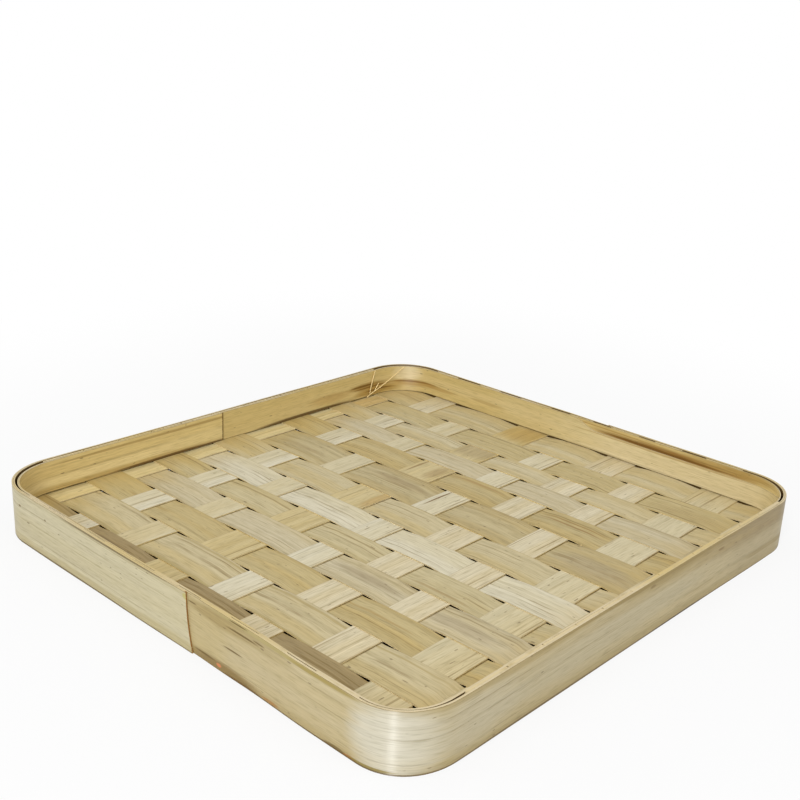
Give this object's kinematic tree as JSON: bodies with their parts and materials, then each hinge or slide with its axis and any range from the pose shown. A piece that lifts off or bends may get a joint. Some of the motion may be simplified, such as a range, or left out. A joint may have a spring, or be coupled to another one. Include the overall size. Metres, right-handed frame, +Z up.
{
  "type": "woven bamboo tray",
  "caption": "Shallow square tray with rounded corners: a plain-weave bamboo splint floor, its ends turned up and clamped between two lapped bent-bamboo hoops.",
  "frame": {"origin": "middle of the tray on the surface that it stands on", "axes": "+Z up; X along the longer sides, from the front left side to the back right side; Y along the shorter sides, from the front right side to the back left side; the picture looks along +X +Y from above"},
  "size_m": [0.3206, 0.3056, 0.029],
  "materials": {
    "outer_hoop": "split bamboo, fine straight grain, satin",
    "inner_hoop": "split bamboo, fine straight grain, satin",
    "weft_splint": "split bamboo splint, long grain, satin",
    "warp_splint": "pale split bamboo splint, long grain, satin"
  },
  "bodies": {
    "root": {"outer_strip_a": "outer_hoop", "outer_strip_b": "outer_hoop", "inner_strip_a": "inner_hoop", "inner_strip_b": "inner_hoop", "weft_01": "weft_splint", "weft_02": "weft_splint", "weft_03": "weft_splint", "weft_04": "weft_splint", "weft_05": "weft_splint", "weft_06": "weft_splint", "weft_07": "weft_splint", "weft_08": "weft_splint", "weft_09": "weft_splint", "weft_10": "weft_splint", "weft_11": "weft_splint", "weft_12": "weft_splint", "weft_13": "weft_splint", "warp_1": "warp_splint", "warp_2": "warp_splint", "warp_3": "warp_splint", "warp_4": "warp_splint", "warp_5": "warp_splint", "warp_6": "warp_splint", "warp_7": "warp_splint", "warp_8": "warp_splint", "warp_9": "warp_splint"}
  },
  "joints": []
}
